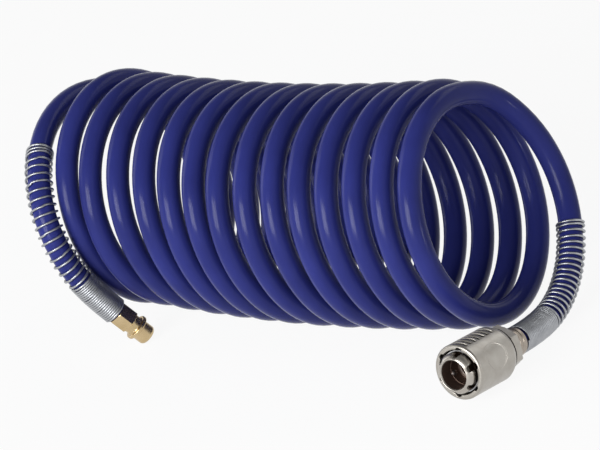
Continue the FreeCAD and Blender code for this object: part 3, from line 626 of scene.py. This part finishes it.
def coupler_body_outline():
    return rounded([
        (6.6, 7.5, 0.1), (8.6, 5.52, 0.1), (10.3, 5.52, 0.2), (10.3, 8.5, 0.2), (8.5, 8.5, 0.2),
        (8.5, 29.6, 0.05), (7.9, 29.6, 0.05), (7.9, 30.6, 0.05), (8.5, 30.6, 0.1), (8.5, 31.8, 0.0),
        (8.6, 32.4, 0.2), (8.6, 33.5, 0.3), (8.2, 34.5, 0.4), (7.4, 35.3, 0.5), (6.6, 35.7, 0.2),
        (6.1, 35.1, 0.3), (6.1, 29.0, 0.1), (5.9, 29.0, 0.05), (5.9, 24.2, 0.1), (5.0, 24.2, 0.0),
        (4.65, 24.2, 0.25), (4.65, 23.4, 0.0), (4.65, 22.1, 0.1), (6.4, 22.1, 0.1), (6.4, 19.9, 0.1),
        (4.65, 19.9, 0.1), (4.65, 17.2, 0.1), (6.5, 15.35, 0.1), (6.5, 10.3, 0.1), (6.6, 10.3, 0.1)])


RIM_NOTCHES = 6
NOTCH_TURN = math.radians(2)
NOSE_RADIUS, NOTCH_DEPTH = 8.6, 1.2
# From this radius outwards the nose's front is drawn in before each notch, by a share of what is beyond it.
WAIST_RADIUS, WAIST_SHARE = 6.6, 0.3


def in_notch(angles, radius, half):
    """How far into the nearest notch of this half width an angle lies: 0 at its edge, 1 in its middle."""
    sector = 2 * math.pi / RIM_NOTCHES
    beside = np.abs((angles - NOTCH_TURN + sector / 2) % sector - sector / 2)
    return np.clip(1 - (beside * radius / half) ** 2, 0, 1)


def rim_lobes(radii, heights, angles):
    """Round notches in the nose's side, and a light waist in its front before each."""
    reach = in_notch(angles, radius=8.5, half=1.5)
    side = (heights > 30.7) & (radii > 7.7)
    radii = np.where(side, np.minimum(radii, NOSE_RADIUS - NOTCH_DEPTH * np.sqrt(reach)), radii)
    rim = (heights > 32.9) & (radii > WAIST_RADIUS)
    return np.where(rim, radii - WAIST_SHARE * reach * (radii - WAIST_RADIUS), radii), heights


SLEEVE_RADIUS = 11.75
# Grip grooves of the sleeve: their places along it, half their width, the width of their sloping edges and
# their depth
GROOVES = [12.1 + 2.9 * i for i in range(7)]
GROOVE_HALF, GROOVE_EDGE, GROOVE_DEPTH = 0.85, 0.2, 0.7
# The sector that the grooves cover, and the same one opposite
GRIP_TURN = math.radians(75)
GRIP_HALF = math.radians(27)
# Thumb dish: its place along the sleeve, half its width, half its length, its depth and its edge's share
PAD_CENTRE, PAD_HALF_WIDTH, PAD_HALF_LENGTH, PAD_DEPTH, PAD_EDGE = 19.6, 6.0, 6.5, 0.35, 0.08


def sleeve_outline():
    """The sleeve's outline, with close points where the grip grooves lie."""
    rear = rounded([
        (10.4, 6.9, 0.1), (10.9, 6.9, 0.3), (SLEEVE_RADIUS, 9.1, 0.6), (SLEEVE_RADIUS, 9.4, 0.0),
    ]).tolist()
    side = [(SLEEVE_RADIUS, z) for z in np.arange(9.6, 30.81, 0.2)]
    front = rounded([
        (SLEEVE_RADIUS, 30.95, 0.0), (SLEEVE_RADIUS, 31.3, 0.4), (11.1, 32.0, 0.5), (9.75, 32.0, 0.2),
        (9.55, 31.8, 0.1), (9.45, 30.9, 0.0), (9.3, 30.2, 0.0), (9.08, 29.4, 0.05), (8.65, 27.25, 0.05),
        (8.65, 20.7, 0.1), (10.4, 20.7, 0.1)]).tolist()
    inside = [(10.4, z) for z in (19.0, 15.0, 11.0)]
    return np.array(rear + side + front + inside)


def groove_depth(heights, angles):
    """How deep the grip grooves are at a place on the sleeve, from 0 to 1."""
    beside = np.abs((angles - GRIP_TURN + math.pi / 2) % math.pi - math.pi / 2)
    inside = np.clip((GRIP_HALF - beside) * SLEEVE_RADIUS, 0, 1)
    groove = np.zeros_like(heights)
    for place in GROOVES:
        within = GROOVE_HALF - np.abs(heights - place)
        groove = np.maximum(groove, np.clip(within / GROOVE_EDGE, 0, 1))
    return groove * np.sqrt(inside)


def pad_depth(heights, angles):
    """A shallow thumb dish between the grips, from 0 to 1."""
    beside = (angles + math.pi / 2) % math.pi - math.pi / 2
    across = beside * SLEEVE_RADIUS / PAD_HALF_WIDTH
    lengthwise = (heights - PAD_CENTRE) / PAD_HALF_LENGTH
    return np.clip((1.0 - np.sqrt(across ** 2 + lengthwise ** 2)) / PAD_EDGE, 0, 1)


def sleeve_shape(radii, heights, angles):
    """Grip grooves on two sides, a thumb dish between them, and scallops round the opening."""
    skin = (radii > 11.5) & (heights > 9.5) & (heights < 30.9)
    cut = GROOVE_DEPTH * groove_depth(heights, angles) + PAD_DEPTH * pad_depth(heights, angles)
    radii = np.where(skin, radii - cut, radii)
    mouth = (heights > 30.0) & (radii < 9.9) & (radii > 9.05)
    scallop = np.sqrt(in_notch(angles, radius=9.6, half=1.4))
    return np.where(mouth, radii + scallop, radii), heights


def mark_painted_shade(mesh, depth):
    """Stores painted shade for each point, from a rule on radius, height and angle."""
    places = np.array([v.co for v in mesh.vertices])
    radii = np.hypot(places[:, 0], places[:, 1])
    angles = np.arctan2(places[:, 1], places[:, 0])
    values = depth(radii, places[:, 2], angles)
    painted_shade = mesh.attributes.new("painted_shade", "FLOAT", "POINT")
    painted_shade.data.foreach_set("value", values.astype(np.float32))
    return mesh


def sleeve_painted_shade(radii, heights, angles):
    """Painted shade: the sleeve is darkened in its grooves and inside, where shade falls."""
    outside = groove_depth(heights, angles) * (radii > 10.9)
    inside = (radii < 10.9) & (heights < 31.7)
    return np.where(inside, 0.93, 0.95 * outside)


def body_painted_shade(radii, heights, angles):
    """Painted shade: the bore is painted dark, its inner shoulder's edge less so, and the nose's side in the
    sleeve is painted black.
    """
    bore = (radii < 6.3) & (heights < 34.9)
    shoulder = (radii < 5.1) & (heights > 23.3) & (heights < 24.3)
    side = (radii > 7.0) & (heights < 33.3) & ((heights < 31.9) | (radii < 8.2))
    return np.where(shoulder, 0.5, np.where(bore, 0.9, np.where(side, 1.9, 0.0)))


def ring(radius, height, half, count=16):
    """Outline of a ring with a round section."""
    turn = [2 * math.pi * i / count for i in range(count)]
    return [(radius + half * math.cos(a), height + half * math.sin(a)) for a in turn]


def poppet_outline():
    return rounded([
        (0.0, 7.7), (1.5, 7.7, 0.1), (1.8, 8.1, 0.1), (1.8, 13.6, 0.1), (6.0, 13.6, 0.15),
        (6.0, 15.05, 0.1), (3.9, 15.05, 0.1), (3.9, 16.75, 0.1), (4.3, 16.75, 0.1), (4.3, 17.2, 0.1),
        (3.6, 17.2, 0.2), (3.6, 21.0, 0.2), (3.2, 21.4, 0.2), (0.0, 21.4)])


BALLS = 4
BALL_RADIUS = 1.75
# Distance of the balls' centres from the axis, and their place along it
BALL_REACH, BALL_HEIGHT = 6.85, 27.5


def make_ball(index, material):
    """One of the balls round the bore, at rest where they lock a plug."""
    name = "locking_ball_%d" % (index + 1)
    shape = bmesh.new()
    bmesh.ops.create_icosphere(shape, subdivisions=4, radius=BALL_RADIUS)
    angle = 2 * math.pi / BALLS * index
    centre = Vector((BALL_REACH * math.cos(angle), BALL_REACH * math.sin(angle), BALL_HEIGHT))
    bmesh.ops.translate(shape, verts=shape.verts, vec=centre)
    mesh = bpy.data.meshes.new(name)
    shape.to_mesh(mesh)
    shape.free()
    mesh.transform(ON_COUPLER)
    mesh.polygons.foreach_set("use_smooth", np.ones(len(mesh.polygons), bool))
    new_piece(name, mesh, material, "lock_ball_%d_body" % (index + 1),
              ["lock_ball_%d" % (index + 1)])


def open_ring_mesh():
    """The stop ring, a flat ring with a gap."""
    outline = rounded([
        (7.95, 29.65, 0.08), (9.0, 29.65, 0.1), (9.0, 30.55, 0.1), (7.95, 30.55, 0.08)])
    gap = 30
    segments = 88
    points = []
    for i in range(segments + 1):
        angle = math.radians(gap / 2 + (360 - gap) * i / segments)
        points += [(r * math.cos(angle), r * math.sin(angle), z) for r, z in outline]
    mesh = bpy.data.meshes.new("stop_ring")
    mesh.from_pydata(points, [], skin_faces(segments + 1, len(outline), closed=False))
    face_outwards(mesh)
    return mesh


def straight_line(first, last, count=12):
    """Points in metres on the coupler's axis, between two heights in its millimetres."""
    heights = [first + (last - first) * i / (count - 1) for i in range(count)]
    return np.array([ON_COUPLER @ Vector((0, 0, height)) for height in heights])


# Stage

# Strength of the studio's light on the pieces, and how white it is overhead as shiny pieces mirror it
STUDIO_LIGHT = 0.22
OVERHEAD_WHITE = 0.2
FLOOR_HALF = 3
FLOOR_GLOW = 0.92
LAMP_AIM = Vector((0.0, 0.0, 0.05))
# Name, place, size and watts of each lamp
LAMPS = (
    ("key_softbox", (0.2, -1.55, 0.7), (1.1, 0.7), 29.0),
    ("side_softbox", (-1.5, -0.5, 0.9), (0.5, 1.2), 3.0),
    ("back_softbox", (0.4, 1.5, 1.1), (1.2, 0.5), 2.5),
    ("low_strip", (1.1, 0.25, 0.035), (0.2, 0.05), 0.7),
)


def seen_rays(wire):
    """1 for the camera's rays and for what shiny or clear pieces show, where the studio looks white."""
    rays = wire.node("ShaderNodeLightPath").outputs
    shiny = wire.math("MAXIMUM", rays["Is Glossy Ray"], rays["Is Transmission Ray"])
    return wire.math("MAXIMUM", rays["Is Camera Ray"], shiny)


def add_world():
    world = bpy.data.worlds.new("studio")
    bpy.context.scene.world = world
    world.use_nodes = True
    world.node_tree.nodes.clear()
    wire = Wiring(world.node_tree)
    # The studio is white at the horizon and darker overhead, which shiny pieces mirror.
    place = wire.node("ShaderNodeTexCoord").outputs["Generated"]
    height = wire.node("ShaderNodeSeparateXYZ", {0: place}).outputs["Z"]
    dim = wire.node("ShaderNodeMapRange", {
        "Value": height, "From Min": 0.15, "From Max": 0.7, "To Min": 1.0, "To Max": OVERHEAD_WHITE,
    }).outputs["Result"]
    strength = wire.math("MAXIMUM", wire.node("ShaderNodeLightPath").outputs["Is Camera Ray"], dim)
    lit = wire.node("ShaderNodeBackground", {"Color": (0.92, 0.95, 1.0, 1.0), "Strength": STUDIO_LIGHT})
    white = wire.node("ShaderNodeBackground", {"Color": (1.0, 1.0, 1.0, 1.0), "Strength": strength})
    mixed = wire.node("ShaderNodeMixShader", {0: seen_rays(wire), 1: lit.outputs[0], 2: white.outputs[0]})
    wire.node("ShaderNodeOutputWorld", {"Surface": mixed.outputs[0]})


def add_floor():
    mesh = bpy.data.meshes.new("floor")
    far = FLOOR_HALF
    mesh.from_pydata([(-far, -far, 0), (far, -far, 0), (far, far, 0), (-far, far, 0)], [], [(0, 1, 2, 3)])
    floor = in_scene("floor", mesh)
    material, wire = new_material("floor_white")
    # What is seen of the floor is mostly a white glow. The lit paper in the rest keeps the shadow.
    paper = wire.node("ShaderNodeBsdfDiffuse", {"Color": (0.85, 0.85, 0.85, 1.0)})
    glow = wire.node("ShaderNodeEmission", {"Color": (1.0, 1.0, 1.0, 1.0), "Strength": 1.0})
    share = wire.math("MULTIPLY", seen_rays(wire), FLOOR_GLOW)
    mixed = wire.node("ShaderNodeMixShader", {0: share, 1: paper.outputs[0], 2: glow.outputs[0]})
    wire.node("ShaderNodeOutputMaterial", {"Surface": mixed.outputs[0]})
    mesh.materials.append(material)


def add_lamps():
    for name, place, size, power in LAMPS:
        data = bpy.data.lights.new(name, "AREA")
        data.shape = "RECTANGLE"
        data.size, data.size_y = size
        data.energy = power
        lamp = in_scene(name, data)
        lamp.location = place
        lamp.rotation_euler = (LAMP_AIM - Vector(place)).to_track_quat("-Z", "Y").to_euler()
        lamp.visible_camera = False


# Putting the pieces together

def make_finishes():
    """All materials but the floor's, by a short name."""
    group = finish_group()
    on_axis = {"axis_place": ON_COUPLER, "lines": 0.05}
    return {
        "blue": nylon(group),
        "zinc": metal("guard_zinc", group, (0.44, 0.45, 0.47), (0.34, 0.35, 0.37), rough=0.42),
        "brass": metal("plug_brass", group, (0.62, 0.48, 0.28), (0.52, 0.39, 0.21), rough=0.27,
                       axis_place=ON_PLUG, lines=0.06, bump=0.05),
        # The sleeve's near-black shade colour is painted shade for its grooves and inside.
        "nickel": metal("sleeve_nickel", group, (0.44, 0.42, 0.385), (0.37, 0.345, 0.31), rough=0.36,
                        bump=0.04, shade_colour=(0.010, 0.008, 0.006), **on_axis),
        # The nose's brownish shade colour is painted shade for its bore.
        "nose": metal("nose_nickel", group, (0.50, 0.47, 0.43), (0.42, 0.39, 0.35), rough=0.34,
                      bump=0.04, shade_colour=(0.14, 0.085, 0.065), **on_axis),
        "bronze": metal("ferrule_plating", group, (0.40, 0.355, 0.31), (0.32, 0.27, 0.22), rough=0.3,
                        bump=0.05, **on_axis),
        "steel": metal("spring_steel", group, (0.55, 0.55, 0.56), (0.45, 0.45, 0.46), rough=0.3),
        # Painted shade: the balls' steel is darkened because they lie in the bore's shade.
        "ball": metal("ball_steel", group, (0.26, 0.24, 0.23), (0.2, 0.18, 0.17), rough=0.38),
        "dark_brass": metal("valve_brass", group, (0.12, 0.05, 0.03), (0.08, 0.03, 0.02), rough=0.4,
                            bump=0.05, **on_axis),
        "black": rubber(group),
    }


def make_spring(name, tree, line, values, material, body, node):
    """A spring wound about a line, whose mesh brings its material with it."""
    return new_piece(name, wound_wire(name, tree, line, values, material), None, body, [node])


def make_guards(points, tree, zinc):
    """Both bend-guard springs, wound about the hose's ends. Returns the plug's."""
    wire = {
        "Wire radius": 0.0005, "Winding radius": 0.0057, "Closed pitch": 0.00101, "End pitch": 0.0014,
        "Steps": 1700,
    }
    plug_line = hose_end_line(points[::-1], first=0.0007, last=0.0867)
    plug_curls = {**wire, "Closed length": 0.0213, "Open length": 0.0613, "Open pitch": 0.0035}
    plug_guard = make_spring("plug_guard_spring", tree, plug_line, plug_curls, zinc, "plug_end",
                             "plug_spring_guard")
    coupler_line = hose_end_line(points, first=0.0094, last=0.0814)
    coupler_curls = {**wire, "Closed length": 0.022, "Open length": 0.0476, "Open pitch": 0.0028}
    make_spring("coupler_guard_spring", tree, coupler_line, coupler_curls, zinc, "hose_and_coupler",
                "socket_spring_guard")
    return plug_guard


def make_plug(brass):
    flats = hexagon_shape(across=10.0, high=7.5)
    plug = turned("brass_plug", plug_outline(), segments=144, shape=flats)
    return new_piece("brass_plug", finished(plug, ON_PLUG), brass, "plug_end", ["plug_body"])


def on_coupler(name, mesh, material, node, body="hose_and_coupler", degrees=35):
    """A piece of the coupler, from a mesh in the coupler's millimetres."""
    new_piece(name, finished(mesh, ON_COUPLER, degrees), material, body, [node])


def make_coupler(finish):
    """The coupler's pieces but for its springs."""
    flats = hexagon_shape(across=17.5, high=5.5, turn=math.radians(-12))
    adapter = turned("hex_adapter", adapter_outline(), segments=144, shape=flats)
    on_coupler("hex_adapter", adapter, finish["nickel"], "socket_rear_adapter")
    ferrule = turned("hose_ferrule", ferrule_outline())
    on_coupler("hose_ferrule", ferrule, finish["bronze"], "socket_ferrule")
    shell = turned("coupler_body", coupler_body_outline(), segments=180, shape=rim_lobes)
    on_coupler("coupler_body", mark_painted_shade(shell, body_painted_shade), finish["nose"], "socket_body")
    sleeve = turned("release_sleeve", sleeve_outline(), segments=360, shape=sleeve_shape)
    on_coupler("release_sleeve", mark_painted_shade(sleeve, sleeve_painted_shade), finish["nickel"], "socket_sleeve",
               "sleeve")
    on_coupler("stop_ring", open_ring_mesh(), finish["steel"], "sleeve_stop_ring")
    washer = turned("spring_seat_washer", rounded([(8.6, 8.5), (10.2, 8.5), (10.2, 9.3), (8.6, 9.3)]))
    on_coupler("spring_seat_washer", washer, finish["steel"], "spring_washer")
    poppet = turned("poppet", poppet_outline())
    on_coupler("poppet", poppet, finish["dark_brass"], "valve_poppet", "valve")
    for name, outline, body, node in (
            ("nose_seal", ring(5.42, 21.0, 0.95), "hose_and_coupler", "plug_seal"),
            ("poppet_seal", ring(4.75, 15.9, 0.8), "valve", "valve_seal"),
            ("joint_seal", ring(7.2, 6.1, 0.5), "hose_and_coupler", "adapter_seal")):
        seal = turned(name, outline, segments=64)
        on_coupler(name, seal, finish["black"], node, body, degrees=60)
    for index in range(BALLS):
        make_ball(index, finish["ball"])


def make_coupler_springs(tree, steel):
    """The sleeve's and the valve's springs, each with a mesh of its own."""
    sleeve_spring = make_spring("sleeve_return_spring", tree, straight_line(9.9, 20.1), {
        "Wire radius": 0.0006, "Winding radius": 0.00945, "Closed length": 0.0013, "Closed pitch": 0.0013,
        "Open length": 0.0076, "Open pitch": 0.0019, "End pitch": 0.0013, "Steps": 360,
    }, steel, "hose_and_coupler", "sleeve_spring")
    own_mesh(sleeve_spring)
    valve_spring = make_spring("valve_closing_spring", tree, straight_line(5.4, 13.2), {
        "Wire radius": 0.00035, "Winding radius": 0.004, "Closed length": 0.0008, "Closed pitch": 0.0008,
        "Open length": 0.0062, "Open pitch": 0.00155, "End pitch": 0.0008, "Steps": 360,
    }, steel, "hose_and_coupler", "valve_spring")
    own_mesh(valve_spring)


def main():
    bpy.context.scene.view_settings.view_transform = "Standard"
    add_camera()
    add_world()
    add_floor()
    add_lamps()

    finish = make_finishes()
    points = spline_line("hose_line", hose_controls(), resolution=5)
    hose, length = make_hose(points, finish["blue"])
    tree = wound_wire_tree()
    plug_guard = make_guards(points, tree, finish["zinc"])
    plug = make_plug(finish["brass"])
    make_coupler(finish)
    make_coupler_springs(tree, finish["steel"])


main()
